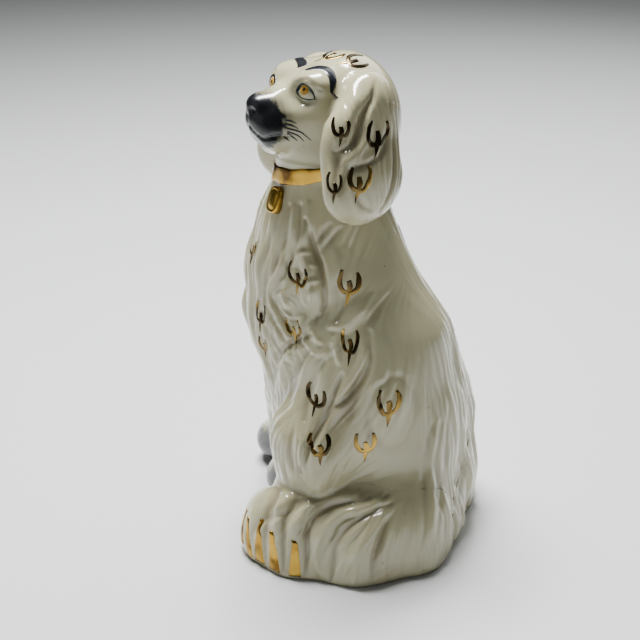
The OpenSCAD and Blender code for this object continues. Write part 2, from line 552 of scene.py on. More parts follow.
MAP = 0.4
side_flow = Flow((-50, -5), (75, 200), MAP, [
    [(-25, 140), (-26, 120), (-28, 105), (-27, 91), (-22, 79), (-15, 72)],
    [(-17, 138), (-19, 129), (-22, 115), (-22, 101), (-18, 89), (-12, 81), (-6, 74)],
    [(-8, 138), (-10, 124), (-10, 117), (-5, 112), (-4, 105), (-7, 96), (-8, 87), (-6, 80)],
    [(-3, 138), (-1, 124), (1, 116), (1, 105), (-1, 99), (-6, 92), (-7, 86)],
    [(12, 135), (8, 128), (5, 122), (3, 113), (4, 105)],
    [(28, 128), (24, 120), (19, 113), (14, 106)],
    [(24, 110), (18, 106), (13, 103), (9, 95), (5, 89), (-1, 84), (-7, 78)],
    [(18, 94), (22, 91), (23, 86), (20, 78), (15, 68), (8, 61), (2, 55)],
    [(-1, 84), (-7, 75), (-10, 64), (-9, 57), (-12, 43), (-12, 34)],
    [(-8, 78), (-14, 69), (-16, 56), (-15, 42), (-12, 33)],
    [(6, 72), (0, 62), (-6, 52), (-7, 42), (-5, 35)],
    [(10, 61), (4, 50), (-1, 37)],
    [(30, 38), (20, 35), (10, 33)],
    [(38, 112), (43, 97), (52, 78), (59, 56), (62, 40)],
    [(49, 74), (54, 51), (53, 31), (50, 14), (48, 0)],
    [(60, 40), (59, 20), (57, 0)],
    [(40, 60), (42, 40), (40, 20), (40, 0)],
], [(-13, 102, 8, 1)], 4)
SIDE_RIDGES = [
    ([(-5, 134), (-2.4, 124), (0, 118.5), (1.4, 112), (1.7, 105), (0.3, 99)], 1.2, -1.4),
    ([(0.3, 100), (-3, 96), (-6, 88)], 1.1, -1.0),
    ([(-7, 139), (-8, 127), (-14, 111), (-17, 104), (-15, 97), (-9, 88), (-5, 87)], 1.0, -0.9),
    ([(-11, 138), (-13, 125), (-18, 112), (-21, 103), (-19, 95), (-12, 85), (-7, 81)], 0.9, -0.8),
    ([(-14, 138), (-18, 124), (-23, 110), (-24, 100), (-21, 90), (-14, 80), (-9, 76)], 0.9, -0.8),
    ([(-9, 138), (-10, 126), (-16, 112), (-19, 104), (-17, 96), (-10, 86)], 1.3, 0.8),
    ([(-4, 140), (-4, 132), (-8, 124), (-9, 117)], 1.3, 0.9),
    ([(-4, 122.5), (-7, 122), (-9.5, 117)], 1.1, 0.9),
    ([(-1.5, 117.5), (-3.5, 118.3), (-5.5, 115)], 1.0, 0.8),
    ([(-1, 113), (-4, 112), (-6.2, 108), (-5.4, 103)], 1.2, 1.0),
    ([(3.5, 133), (1, 129.5), (-1.2, 126)], 1.0, -0.7),
    ([(7, 131.5), (3.5, 127), (0.2, 122.5)], 1.0, -0.7),
    ([(5, 124), (6.5, 118), (5, 112)], 2.0, 0.8),
    ([(9, 124), (10, 116), (8, 109)], 2.0, 0.8),
    ([(-6, 122), (-4, 116), (-6, 112)], 1.8, 0.9),
    ([(-13, 111), (-17, 106), (-16, 100), (-11, 97)], 1.2, 0.8),
    ([(-10, 110), (-13, 105), (-11, 101)], 1.1, 0.8),
    ([(-2.4, 110), (-4, 106)], 1.0, 0.6),
    ([(-6, 98), (-7, 91), (-2, 86), (5, 88)], 1.4, 0.9),
    ([(-2, 98), (-3, 93), (1, 90)], 1.4, 0.8),
    ([(-3, 92), (-9, 88), (-15, 81), (-18, 70), (-19, 60)], 1.4, -1.4),
    ([(18, 107), (13, 101), (9, 97), (4, 96)], 2.4, 2.0),
    ([(22, 101), (19, 95), (20, 88)], 2.0, 1.0),
    ([(9, 97), (6, 91), (7, 84)], 1.6, 1.2),
    ([(18, 95), (18, 86), (13, 76), (6, 68)], 1.5, -1.6),
    ([(8, 80), (5, 72), (1, 64)], 1.2, -0.9),
    ([(17, 90), (12, 80), (6, 71)], 1.6, 1.0),
    ([(26, 79), (20, 75), (17.5, 66), (19, 57), (25, 51), (31, 53), (34.5, 61)], 1.8, -1.1),
    ([(34.5, 60), (35, 70), (30, 78), (24, 80)], 1.8, -0.7),
    ([(-5, 88), (-9, 84), (-14, 76), (-15, 60)], 1.6, 1.2),
    ([(-2, 84), (-6, 78), (-9, 68), (-10, 58)], 1.5, 1.0),
    ([(-4, 86), (-8, 78), (-12, 68), (-12, 56)], 1.0, -1.1),
    ([(2, 84), (-2, 76), (-5, 66), (-6, 56)], 1.1, -1.1),
    ([(5, 70), (0, 60), (-5, 50), (-7, 42)], 1.1, -1.0),
    ([(-9, 60), (-11, 50), (-10, 42)], 1.1, -0.9),
    ([(-6, 60), (-7, 50), (-6, 43)], 1.4, 0.9),
    ([(2, 58), (-2, 50), (-3, 42)], 1.4, 0.7),
    ([(34, 116), (44, 102), (50, 88)], 0.9, -0.6),
    ([(38, 112), (46, 99), (50, 90)], 0.8, -0.5),
    ([(46, 56), (44, 41), (46, 28), (44, 12)], 1.2, -1.0),
    ([(42, 57), (39, 41), (40, 25), (38, 12)], 1.2, -1.0),
    ([(49, 60), (48, 45), (50, 30), (48, 14)], 1.1, -0.9),
    ([(44, 58), (42, 41), (43, 26), (41, 12)], 1.2, 0.8),
    ([(36, 50), (34, 38), (35, 24)], 1.2, -0.6),
]
SIDE_LOCKS = fur(side_flow, (4.0, 24), (1.1, 12), 0.42, 0.17)
side_z = side_flow.low[1]+MAP*np.arange(side_flow.shape[1])
SIDE_LOCKS *= 1-0.6*np.clip((side_z-118)/20, 0, 1)
SIDE_LOCKS += 1.5*drawn(side_flow, SIDE_RIDGES)

# Broad swellings and hollows under the locks: (s, z, half width, half height, height)
SIDE_LOBES = [
    (25, 67, 9, 13, 1.8), (12, 66, 4.5, 8, -1.5), (0, 77, 5, 8, 1.4), (-1, 93, 5, 5, 1.2),
    (-12, 66, 4, 12, 0.9), (6, 58, 4, 6, -0.9), (-3, 108, 4.5, 5, 1.2), (-13, 104, 5, 5.5, 0.8),
    (5, 117, 3.5, 7, 0.8), (-8, 127, 3.5, 7, 0.7), (15, 102, 5, 4, 1.4), (19, 84, 3, 9, 1.2),
    (-6, 88, 3, 4, -0.8),
]

front_flow = Flow((-60, -5), (70, 200), MAP, [
    [(-30, 140), (-28, 110), (-32, 80), (-28, 50), (-32, 10)],
    [(-10, 140), (-12, 112), (-8, 86), (-12, 50), (-8, 10)],
    [(6, 140), (10, 115), (4, 90), (8, 50), (6, 10)],
    [(22, 140), (18, 112), (24, 80), (20, 50), (24, 10)],
    [(40, 140), (42, 100), (38, 60), (42, 10)],
], [], 9)
FRONT_LOCKS = fur(front_flow, (4.2, 24), (1.1, 12), 0.85, 0.17)


def body_relief(p, n):
    """Fur on the trunk: combed maps on the sides, chest and back, fading out on the smooth coat."""
    s, t, z = p.T
    side = np.abs(n[:, 1])**3
    front = np.abs(n[:, 0])**3
    total = side+front+0.05
    relief = (side*side_flow.at(SIDE_LOCKS, s, z)+front*front_flow.at(FRONT_LOCKS, t, z))/total
    for at_s, at_z, wide, tall, height in SIDE_LOBES:
        relief = relief+side/total*height*blob(s, z, at_s, at_z, wide, tall)
    smooth = blob(s, z, 29, 47, 15, 17)+blob(s, z, 36, 92, 20, 22)+blob(s, z, 22, 118, 12, 10)
    smooth = smooth+0.75*blob(s, z, 34, 16, 14, 22)
    strength = np.clip(1.15-1.05*smooth, 0.06, 1.15)
    strength *= np.clip((150-z)/8, 0, 1)
    return relief*strength+face_lines(p)


# Grooves on the face: (path in (l, z), half width, depth, least f)
FACE_LINES = [
    ([(0, 170.0), (0.4, 167.0), (3, 164.3), (6.5, 163.0), (10, 164.2)], 0.75, 0.9, 25),
    ([(7.4, 180.4), (9.4, 182.6), (11.8, 183.4), (14.0, 182.4), (15.6, 180.2)], 0.55, 0.4, 10),
    ([(8.6, 176.6), (10.8, 175.0), (13.4, 174.9)], 0.7, 0.25, 10),
]


def face_lines(p):
    """Grooves along the lips, over the eyelids and under the eyes, seen from the front as (l, z)."""
    q = head_axes(p)
    l, z = np.abs(q[:, 1]), q[:, 2]
    out = np.zeros(len(p))
    for path, width, depth, from_f in FACE_LINES:
        best = np.full(len(p), 9.0)
        for (l0, z0), (l1, z1) in zip(path[:-1], path[1:]):
            dl, dz = l1-l0, z1-z0
            u = np.clip(((l-l0)*dl+(z-z0)*dz)/(dl*dl+dz*dz), 0, 1)
            best = np.minimum(best, np.hypot(l-l0-u*dl, z-z0-u*dz))
        out -= depth*np.exp(-(best/width)**2)*(q[:, 0] > from_f)
    return out


ear_flow = Flow((-30, 125), (30, 195), MAP, [
    [(14, 186), (17, 176), (16, 164), (15, 152), (12, 142)],
    [(8, 186), (9, 176), (5, 168), (9, 158), (8, 148), (5, 138)],
    [(2, 186), (3, 176), (-1, 167), (4, 158), (2, 148), (0, 138)],
    [(-6, 184), (-8, 172), (-11, 160), (-8, 150), (-6, 140)],
    [(-12, 180), (-16, 168), (-17, 156), (-13, 144)],
], [], 12)
EAR_RIDGES = [
    ([(11, 183), (14, 178), (17, 172)], 1.3, -0.9),
    ([(-1, 183), (2, 178), (6, 173), (8, 168), (11, 164.5), (16, 162)], 1.2, -1.3),
    ([(15, 162), (17, 157), (18, 151)], 1.1, -1.0),
    ([(-4, 168), (-2, 162), (4, 158.5), (11, 157.5), (14, 155), (17, 149)], 1.1, -0.8),
    ([(5, 183), (8, 177), (12, 171), (15, 167)], 2.2, 1.0),
    ([(3, 176), (4, 170), (6, 165), (11, 161), (15, 159)], 1.7, 0.9),
    ([(14, 178), (15, 170), (17, 164)], 1.8, 0.7),
    ([(-5, 176), (-7, 166), (-6, 156), (-4, 147), (0, 140)], 1.0, -0.9),
    ([(-8, 175), (-10, 165), (-9, 155), (-7, 146)], 1.0, -0.8),
    ([(-11, 172), (-12, 163), (-11, 154), (-9, 147)], 0.9, -0.7),
    ([(12, 150), (9, 145), (4, 141)], 1.2, -0.6),
]
EAR_LOCKS = fur(ear_flow, (3.6, 20), (1.0, 12), 0.2, 0.12)+1.2*drawn(ear_flow, EAR_RIDGES)


def ear_relief(p, n):
    """Waves on the ears, strongest on the broad faces and fading towards the crown."""
    q = head_axes(p)
    outer = np.abs(n@from_head(0, 1, 0))
    waves = ear_flow.at(EAR_LOCKS, q[:, 0], q[:, 2])
    return waves*np.clip(outer*1.4, 0.2, 1)*np.clip((186-q[:, 2])/8, 0, 1)


foot_flow = Flow((-50, -30), (75, 60), MAP, [
    [(10, 33), (-4, 28), (-15, 24), (-24, 14), (-27, 2)],
    [(15, 33), (2, 29), (-8, 24), (-14, 14), (-16, 2)],
    [(21, 32), (8, 27), (1, 20), (-2, 10), (-3, 0)],
    [(29, 32), (24, 27), (22, 15), (22, 0)],
    [(40, 34), (40, 20), (40, 0)],
], [], 21)
FOOT_RIDGES = [
    ([(0, 31), (-12, 27), (-22, 20), (-26, 12), (-27, 4)], 1.1, -1.0),
    ([(24, 31), (10, 29), (2, 22), (-1, 13), (0, 4)], 1.9, 1.2),
    ([(14, 33), (0, 31), (-9, 24), (-9, 16)], 1.9, 1.3),
    ([(4, 35), (-9, 33), (-16, 27), (-17, 20)], 1.8, 1.2),
    ([(29, 30), (20, 23), (14, 14), (13, 3)], 1.8, 0.9),
    ([(-3, 34), (-14, 32), (-20, 24), (-21, 16), (-21, 4)], 1.1, -1.4),
    ([(9, 34), (-5, 32), (-13, 25), (-14, 18), (-14, 4)], 1.3, -1.5),
    ([(19, 32), (5, 30), (-4, 23), (-5, 14), (-5, 3)], 1.3, -1.3),
    ([(27, 30), (15, 27), (7, 19), (5, 10), (4, 2)], 1.3, -1.0),
    ([(18, 29), (8, 26), (4, 19)], 0.9, -0.7),
    ([(8, 31), (-3, 28), (-8, 20)], 0.8, -0.6),
    ([(35, 30), (26, 25), (21, 15), (20, 4)], 1.2, -0.7),
    ([(42, 28), (38, 18), (36, 5)], 1.2, -0.5),
]
FOOT_LOCKS = fur(foot_flow, (3.0, 24), (1.0, 12), 0.3, 0.14)+1.35*drawn(foot_flow, FOOT_RIDGES)
CLAWS_S = (-28.5, -23.8, -18.1, -9.6)
# The foot's locks give way to the body's between these s, towards the tail
FOOT_REAR = (22, 32)


def foot_relief(p, n, side):
    """Locks over a hind foot, smooth under the claws."""
    q = p if side > 0 else across_body(p)
    s, _, z = q.T
    toes = sum(blob(s, z, at, 8, 2.4, 12) for at in CLAWS_S)
    rear = ramp(p[:, 0], *FOOT_REAR)
    locks = foot_flow.at(FOOT_LOCKS, s, z)*np.clip(1-toes, 0.1, 1)
    return locks*(1-rear)+body_relief(p, n)*rear


def leg_relief(p, n):
    """Soft upright locks on the forelegs, fading above the paws."""
    s, t, z = p.T
    return 0.5*front_flow.at(FRONT_LOCKS, 1.3*t+0.6*s, z)*ramp(z, 16, 34)


# ---- Materials ----

def material(name):
    """A new material with its nodes, links and shader."""
    mat = bpy.data.materials.new(name)
    mat.use_nodes = True
    nodes, links = mat.node_tree.nodes, mat.node_tree.links
    return mat, nodes, links, nodes["Principled BSDF"]


def noise_node(nodes, links, coords, scale, detail=3.0, rough=0.55):
    """Noise over the piece's own coordinates, in metres."""
    node = nodes.new("ShaderNodeTexNoise")
    node.inputs["Scale"].default_value = scale
    node.inputs["Detail"].default_value = detail
    node.inputs["Roughness"].default_value = rough
    links.new(coords.outputs["Object"], node.inputs["Vector"])
    return node.outputs["Fac"]


def ramp_node(nodes, links, source, stops):
    """Colour stops (position, colour) looked up by the source."""
    node = nodes.new("ShaderNodeValToRGB")
    elements = node.color_ramp.elements
    while len(elements) < len(stops):
        elements.new(0.5)
    for element, (pos, colour) in zip(elements, stops):
        element.position = pos
        element.color = (*colour, 1)
    links.new(source, node.inputs["Fac"])
    return node.outputs["Color"]


def mix_node(nodes, links, mask, colour, tint):
    """The colour, with the tint over it where the mask is 1."""
    node = nodes.new("ShaderNodeMix")
    node.data_type = "RGBA"
    links.new(mask, node.inputs["Factor"])
    links.new(colour, node.inputs[6])
    node.inputs[7].default_value = (*tint, 1)
    return node.outputs[2]


def range_node(nodes, links, source, low, high):
    """The source, spread from low to high."""
    node = nodes.new("ShaderNodeMapRange")
    node.inputs["To Min"].default_value = low
    node.inputs["To Max"].default_value = high
    links.new(source, node.inputs["Value"])
    return node.outputs["Result"]


def attribute_node(nodes, name):
    node = nodes.new("ShaderNodeAttribute")
    node.attribute_name = name
    return node.outputs["Fac"]


def add_bump(nodes, links, shader, source, strength, distance):
    node = nodes.new("ShaderNodeBump")
    node.inputs["Strength"].default_value = strength
    node.inputs["Distance"].default_value = distance
    links.new(source, node.inputs["Height"])
    links.new(node.outputs["Normal"], shader.inputs["Normal"])


def glaze_material():
    """Ivory glaze over white earthenware: brown grime and painted shade in the hollows, specks, and
    sprayed enamel.
    """
    mat, nodes, links, shader = material("ivory_glaze")
    coords = nodes.new("ShaderNodeTexCoord")
    cloud = noise_node(nodes, links, coords, 28)
    base = ramp_node(nodes, links, cloud, [(0.3, (0.43, 0.405, 0.25)), (0.55, (0.48, 0.455, 0.285)),
                                           (0.75, (0.53, 0.51, 0.335))])
    # Painted shade: this brown-grey tint darkens the glaze in the relief's grooves, along the seams and
    # just above the floor, and also stands for grime in the hollows
    colour = mix_node(nodes, links, attribute_node(nodes, "hollow_grime_and_shade"), base, (0.24, 0.195, 0.12))
    speck = noise_node(nodes, links, coords, 620, 2.0)
    dots = ramp_node(nodes, links, speck, [(0.745, (0, 0, 0)), (0.775, (1, 1, 1))])
    colour = mix_node(nodes, links, dots, colour, (0.25, 0.16, 0.08))
    black = attribute_node(nodes, "black")
    for mask, tint in ((attribute_node(nodes, "stain"), (0.33, 0.24, 0.13)),
                       (attribute_node(nodes, "grey"), (0.085, 0.09, 0.095)),
                       (black, (0.003, 0.004, 0.006))):
        colour = mix_node(nodes, links, mask, colour, tint)
    links.new(colour, shader.inputs["Base Color"])
    # The sprayed black is a little less glossy than the bare glaze
    wear = noise_node(nodes, links, coords, 90)
    satin = nodes.new("ShaderNodeMath")
    satin.operation = "MULTIPLY_ADD"
    satin.inputs[1].default_value = 0.12
    links.new(black, satin.inputs[0])
    links.new(range_node(nodes, links, wear, 0.10, 0.22), satin.inputs[2])
    links.new(satin.outputs["Value"], shader.inputs["Roughness"])
    shader.inputs["IOR"].default_value = 1.52
    shader.inputs["Coat Weight"].default_value = 0.4
    shader.inputs["Coat Roughness"].default_value = 0.04
    shader.inputs["Subsurface Weight"].default_value = 0.12
    shader.inputs["Subsurface Scale"].default_value = 0.002
    ripple = noise_node(nodes, links, coords, 160, 2.0)
    add_bump(nodes, links, shader, ripple, 0.10, 0.0004)
    return mat


def gold_material(name, scale, stops):
    """Fired gold brushed over the glaze: streaky, thin in places, darker where it pools."""
    mat, nodes, links, shader = material(name)
    coords = nodes.new("ShaderNodeTexCoord")
    streaks = noise_node(nodes, links, coords, scale, 2.0, 0.5)
    links.new(ramp_node(nodes, links, streaks, stops), shader.inputs["Base Color"])
    shader.inputs["Metallic"].default_value = 0.95
    links.new(range_node(nodes, links, streaks, 0.12, 0.28), shader.inputs["Roughness"])
    add_bump(nodes, links, shader, streaks, 0.3, 0.0003)
    return mat


def enamel_material(name, dark, light, rough=0.16):
    """Painted enamel, mottled between two close colours."""
    mat, nodes, links, shader = material(name)
    coords = nodes.new("ShaderNodeTexCoord")
    tone = noise_node(nodes, links, coords, 500)
    colour = ramp_node(nodes, links, tone, [(0.35, dark), (0.7, light)])
    links.new(colour, shader.inputs["Base Color"])
    shader.inputs["Roughness"].default_value = rough
    shader.inputs["Coat Weight"].default_value = 0.2
    return mat


def biscuit_material():
    """Unglazed clay under the base: dry, grainy and a little soiled."""
    mat, nodes, links, shader = material("biscuit")
    coords = nodes.new("ShaderNodeTexCoord")
    grain = noise_node(nodes, links, coords, 300, 5.0, 0.7)
    colour = ramp_node(nodes, links, grain, [(0.3, (0.50, 0.44, 0.35)), (0.7, (0.68, 0.62, 0.52))])
    links.new(colour, shader.inputs["Base Color"])
    shader.inputs["Roughness"].default_value = 0.85
    add_bump(nodes, links, shader, grain, 0.4, 0.0003)
    return mat


GLAZE = glaze_material()
GOLD = gold_material("fired_gold", 110, [(0.34, (0.12, 0.06, 0.012)), (0.46, (0.44, 0.26, 0.04)),
                                         (0.7, (0.56, 0.36, 0.06))])
THIN_GOLD = gold_material("thin_gold", 55, [(0.44, (0.06, 0.042, 0.02)), (0.53, (0.20, 0.13, 0.04)),
                                            (0.65, (0.48, 0.31, 0.07))])
BLACK = enamel_material("black_enamel", (0.004, 0.005, 0.007), (0.009, 0.011, 0.016), 0.24)
AMBER = enamel_material("amber_enamel", (0.42, 0.225, 0.02), (0.52, 0.31, 0.035))
BROWN = enamel_material("brown_enamel", (0.025, 0.008, 0.005), (0.05, 0.016, 0.008))
BISCUIT = biscuit_material()


# ---- Cast pieces ----

def paint(mesh, name, values):
    """Stores a mask from 0 to 1 on the mesh's points."""
    layer = mesh.attributes.new(name, "FLOAT", "POINT")
    layer.data.foreach_set("value", np.clip(values, 0, 1).astype(np.float32))


def black_mask(p):
    """Sprayed black on the muzzle, dense at the lips and fading up the bridge."""
    q = head_axes(p)
    ragged = 0.03*np.sin(q[:, 2]*2.1+q[:, 1])+0.02*np.sin(q[:, 0]*3.3)
    r = np.linalg.norm((q-(36, 0, 167.6))/(14, 13.2, 9.6), axis=1)+ragged
    haze = 0.55*ramp(-r, -1.42, -1.02)*ramp(q[:, 2], 167, 173)+0.25*ramp(-r, -1.25, -1.0)
    return np.clip(ramp(-r, -1.08, -0.99)+haze, 0, 1)*(q[:, 0] > 12)


def grey_mask(p, lift):
    """Grey on a forepaw up to a streaky edge near z = lift."""
    streak = 1.2*np.sin(p[:, 0]*1.7)+0.8*np.sin(p[:, 1]*2.3)
    return 0.96*ramp(-(p[:, 2]+streak), -(lift+4), -(lift-2))


def stain_mask(p):
    """Old brown marks that ran down the side of the near foot."""
    s, _, z = p.T
    runs = blob(s, z, 20.5, 11, 1.5, 8)+0.8*blob(s, z, 25.5, 7, 2.2, 7)+0.5*blob(s, z, 23, 3, 4, 3)
    return 0.42*runs*(0.6+0.4*np.sin(z*1.9+s*2.3)*np.sin(s*3.1))


# Low at the back the relief runs on over the seams: beyond these s and below these z, (faint, full)
REAR_S = (32, 42)
REAR_Z = (100, 80)
# Elsewhere it fades out within these distances of a seam and of the floor, (none, full)
SEAM_FADE = (0.3, 3.5)
FLOOR_FADE = (0.2, 3)


def cast_piece(name, low, high, pitch, relief):
    """Meshes one luted piece, presses the fur into it and paints its masks."""
    field = piece_field(name)
    verts, quads = surface_net(field, low, high, pitch*(1))
    mesh = refined(make_mesh(name, verts, quads))
    p, _ = mesh_arrays(mesh)
    p = on_surface(field, p)
    mesh.vertices.foreach_set("co", p.astype(np.float32).ravel())
    mesh.update()
    p, n = mesh_arrays(mesh)
    own = FORMS[name](p.astype(np.float32))
    gap = np.full(len(p), 99.0)
    for a, b in SEAMS:
        if name in (a, b):
            other = FORMS[b if a == name else a](p.astype(np.float32))
            gap = np.minimum(gap, np.abs(own-other))
    rear = ramp(p[:, 0], *REAR_S)*ramp(p[:, 2], *REAR_Z)
    height = relief(p, n)*np.maximum(ramp(gap, *SEAM_FADE), rear)*ramp(p[:, 2], *FLOOR_FADE)
    # Painted shade along the creases where neighbouring pieces meet, with some grime
    seam = 0.3*np.exp(-gap/1.5)*(1-rear)
    if name == "trunk" or "hind" in name:
        seam *= ramp(p[:, 0], 30, 10)
    moved = p+n*height[:, None]
    moved[:, 2] = np.maximum(moved[:, 2], 0)
    # Painted shade: darker where the relief sinks, along the seams and just above the floor, where shade
    # falls; partly brown grime in the hollows
    paint(mesh, "hollow_grime_and_shade", np.clip(0.05-height*0.5, 0, 0.6)+seam+0.25*np.exp(-p[:, 2]/1.5))
    paint(mesh, "black", black_mask(p) if name == "trunk" else 0*gap)
    paw_top = 17 if "right" in name else 15
    paint(mesh, "grey", grey_mask(p, paw_top) if "front_leg" in name else 0*gap)
    paint(mesh, "stain", stain_mask(p) if name == "left_hind_foot" else 0*gap)
    mesh.vertices.foreach_set("co", moved.astype(np.float32).ravel())
    mesh.update()
    return mesh


def finish_piece(mesh, name, mat, node=None, smooth=True):
    """Turns a display-frame mesh into an object in the object's frame, riding on the one body."""
    p, _ = mesh_arrays(mesh)
    mesh.vertices.foreach_set("co", to_object(p).astype(np.float32).ravel())
    mesh.update()
    obj = bpy.data.objects.new(name, mesh)
    bpy.context.scene.collection.objects.link(obj)
    mesh.materials.clear()
    mesh.materials.append(mat)
    mesh.polygons.foreach_set("use_smooth", np.full(len(mesh.polygons), smooth))
    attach(obj, "root")
    if node:
        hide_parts(node)
    return obj


COLLAR_Z = 150.9
COLLAR_SLOPE = 0.20
COLLAR_LEAN = 0.10
NECK_AXIS = (6.3, -0.6)
NECK_RADII = (19, 17)


def bisected(mesh, name, above):
    """The part of a closed display-frame mesh above or below the collar's plane, capped flat."""
    bm = bmesh.new()
    bm.from_mesh(mesh)
    tilt = from_head(COLLAR_SLOPE, -COLLAR_LEAN, 1)
    normal = Vector(-tilt if above else tilt)
    centre = on_head(*NECK_AXIS, COLLAR_Z)
    everything = bm.verts[:]+bm.edges[:]+bm.faces[:]
    bmesh.ops.bisect_plane(bm, geom=everything, plane_co=centre, plane_no=normal, clear_outer=True)
    rim = [e for e in bm.edges if e.is_boundary]
    bmesh.ops.holes_fill(bm, edges=rim)
    for edge in rim:
        edge.smooth = False
    out = bpy.data.meshes.new(name)
    bm.to_mesh(out)
    bm.free()
    return out


PIECES = {}
for name, low, high, pitch, relief in (
        ("trunk", (-45, -50, -2), (75, 60, 196), 1.3, body_relief),
        ("left_ear", (-15, -45, 125), (45, 30, 192), 1.0, ear_relief),
        ("right_ear", (-30, -10, 125), (40, 60, 192), 1.0, ear_relief),
        ("left_front_leg", (-30, -10, -2), (10, 30, 72), 1.1, leg_relief),
        ("right_front_leg", (-36, 8, -2), (6, 58, 80), 1.1, leg_relief),
        ("left_hind_foot", (-40, -60, -2), (65, 10, 42), 1.0, lambda p, n: foot_relief(p, n, 1)),
        ("right_hind_foot", (-40, -14, -2), (80, 80, 42), 1.0, lambda p, n: foot_relief(p, n, -1)),
        ("tail", (32, -36, -2), (76, 25, 70), 1.1, body_relief)):
    PIECES[name] = cast_piece(name, low, high, pitch, relief)


def combined_tree(names):
    """A ray-casting tree over the listed display-frame meshes."""
    verts, faces, start = [], [], 0
    for name in names:
        p, _ = mesh_arrays(PIECES[name])
        verts += [Vector(v) for v in p]
        faces += [[i+start for i in f.vertices] for f in PIECES[name].polygons]
        start += len(p)
    return BVHTree.FromPolygons(verts, faces)


SKIN = combined_tree(PIECES)
TRUNK = combined_tree(["trunk"])


# ---- Brushwork: thin raised strokes laid on the glaze ----

class Brush:
    """Gathers strokes of one colour on one piece into a single closed-shell mesh."""

    def __init__(self, name, mat, slot, lift=0.16):
        self.name, self.mat, self.slot, self.lift = name, mat, slot, lift
        self.verts, self.faces = [], []

    def stroke(self, path, widths):
        """A ribbon along 3-D path points in mm, with half widths given at even steps."""
        pts = smooth_path(path, 7)
        along = np.linspace(0, 1, len(pts))
        half = np.interp(along, np.linspace(0, 1, len(widths)), widths)
        across = (-1, -0.85, -0.5, -0.17, 0.17, 0.5, 0.85, 1)
        first = len(self.verts)
        for i, pt in enumerate(pts):
            hit, normal, _, _ = SKIN.find_nearest(Vector(pt))
            ahead = Vector(pts[min(i+1, len(pts)-1)]-pts[max(i-1, 0)])
            side = normal.cross(ahead).normalized()
            row = []
            for u in across:
                spot, n, _, _ = SKIN.find_nearest(hit+side*(u*half[i]))
                rise = self.lift*math.sqrt(max(1-u*u, 0))+0.02 if abs(u) < 1 else -0.03
                row.append(spot+(n*0.3+normal*0.7).normalized()*rise)
            self.verts += row
            self.verts += [v-normal*(self.lift+0.3) for v in (row[0], row[2], row[5], row[7])]
        # Each section runs over the top, then back along the underside
        ring = (0, 1, 2, 3, 4, 5, 6, 7, 11, 10, 9, 8)
        size = len(ring)
        for i in range(len(pts)-1):
            a, b = first+size*i, first+size*(i+1)
            for k in range(size):
                j, m = ring[k], ring[(k+1) % size]
                self.faces.append((a+j, b+j, b+m, a+m))
        last = first+size*(len(pts)-1)
        self.faces.append(tuple(first+k for k in ring))
        self.faces.append(tuple(last+k for k in reversed(ring)))

    def disc(self, centre, x_axis, y_axis, rx, ry):
        """A round patch of enamel."""
        first = len(self.verts)
        hit, normal, _, _ = SKIN.find_nearest(Vector(centre))
        rings, steps = (0.45, 0.85, 1.0), 24
        self.verts.append(hit+normal*(self.lift+0.02))
        for r in rings:
            for k in range(steps):
                a = 2*math.pi*k/steps
                at = hit+Vector(x_axis)*(rx*r*math.cos(a))+Vector(y_axis)*(ry*r*math.sin(a))
                spot, n, _, _ = SKIN.find_nearest(at)
                self.verts.append(spot+n*(self.lift+0.02 if r < 1 else -0.02))
        self.verts.append(hit-normal*0.4)
        for k in range(steps):
            j = (k+1) % steps
            self.faces.append((first, first+1+k, first+1+j))
            for r in range(len(rings)-1):
                a, b = first+1+r*steps, first+1+(r+1)*steps
                self.faces.append((a+k, b+k, b+j, a+j))
            outer, under = first+1+(len(rings)-1)*steps, first+1+len(rings)*steps
            self.faces.append((outer+k, under, outer+j))

    def done(self):
        """Makes the strokes into one piece."""
        mesh = make_mesh(self.name, self.verts, self.faces)
        bm = bmesh.new()
        bm.from_mesh(mesh)
        bmesh.ops.recalc_face_normals(bm, faces=bm.faces)
        bm.to_mesh(mesh)
        bm.free()
        obj = finish_piece(mesh, self.name, self.mat)


def seen_from(azimuth, tilt=0.0):
    """A drawing plane (right, up, inwards) seen from a direction: azimuth 0 is the display side."""
    a, b = math.radians(azimuth), math.radians(tilt)
    right = np.array([math.cos(a), -math.sin(a), 0])
    inwards = np.array([math.sin(a)*math.cos(b), math.cos(a)*math.cos(b), -math.sin(b)])
    return right, np.cross(right, inwards), inwards


def lifted(plane, x, y):
    """The skin point under (x, y) of a drawing plane whose origin is the frame's origin."""
    right, up, inwards = plane
    start = right*x+up*y-inwards*200
    hit = SKIN.ray_cast(Vector(start), Vector(inwards))[0]
    return None if hit is None else np.array(hit)


# A brushed mark's strokes, as shares of its width and height: (path, half widths)
TRIDENT = (
    ([(-0.38, 0.62), (-0.50, 0.42), (-0.46, 0.20), (-0.27, 0.04), (0, 0)],
     (0.09, 0.13, 0.145, 0.13, 0.12)),
    ([(0.42, 0.57), (0.50, 0.37), (0.44, 0.17), (0.24, 0.02), (0, 0)],
     (0.08, 0.135, 0.14, 0.12, 0.12)),
    ([(-0.02, 0.33), (0.05, 0.17), (0.0, -0.02)], (0.13, 0.16, 0.13)),
    ([(0.0, 0.02), (-0.05, -0.16), (-0.12, -0.38)], (0.14, 0.10, 0.02)),
)
brush_rng = np.random.default_rng(7)


def across_head(p):
    """A point mirrored through the head's mid-plane."""
    f, l, z = head_axes(np.array([p]))[0]
    return on_head(f, -l, z)


def across_trunk(p):
    """A point mirrored through the body's mid-plane."""
    return across_body(np.array([p], np.float32))[0].astype(float)


